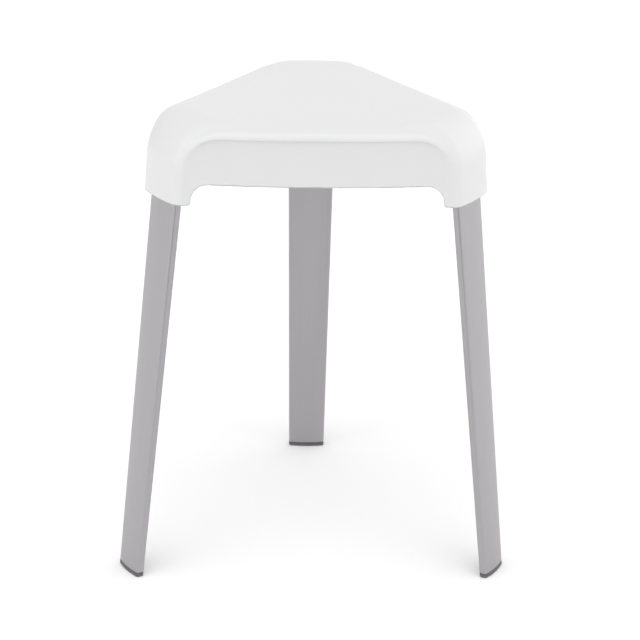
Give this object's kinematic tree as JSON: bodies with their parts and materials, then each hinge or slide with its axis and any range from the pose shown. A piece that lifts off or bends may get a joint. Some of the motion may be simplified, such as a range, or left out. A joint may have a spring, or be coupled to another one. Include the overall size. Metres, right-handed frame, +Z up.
{
  "type": "shower stool",
  "caption": "Backless shower stool with a dished triangular plastic seat on splayed flat metal legs with rubber feet.",
  "frame": {"origin": "on the floor, under the middle of the object's bounding box", "axes": "+Z up; +Y towards the back leg; the long side between the left and right legs faces -Y"},
  "size_m": [0.3826, 0.3338, 0.4609],
  "materials": {
    "seat_plastic": "white moulded polypropylene, fine matt grain",
    "leg_metal": "satin anodised extrusion",
    "foot_rubber": "dark grey moulded rubber",
    "plug_plastic": "black glass-filled nylon",
    "insert_brass": "turned brass",
    "fastener_steel": "stainless steel"
  },
  "bodies": {
    "root": {"leg_screws_back": "fastener_steel", "leg_screws_left": "fastener_steel", "leg_screws_right": "fastener_steel", "leg_top_plug_back": "plug_plastic", "leg_top_plug_left": "plug_plastic", "leg_top_plug_right": "plug_plastic", "leg_tube_back": "leg_metal", "leg_tube_left": "leg_metal", "leg_tube_right": "leg_metal", "leg_washers_back": "fastener_steel", "leg_washers_left": "fastener_steel", "leg_washers_right": "fastener_steel", "rubber_foot_back": "foot_rubber", "rubber_foot_left": "foot_rubber", "rubber_foot_right": "foot_rubber", "seat_shell": "seat_plastic", "threaded_inserts_back": "insert_brass", "threaded_inserts_left": "insert_brass", "threaded_inserts_right": "insert_brass"}
  },
  "joints": []
}
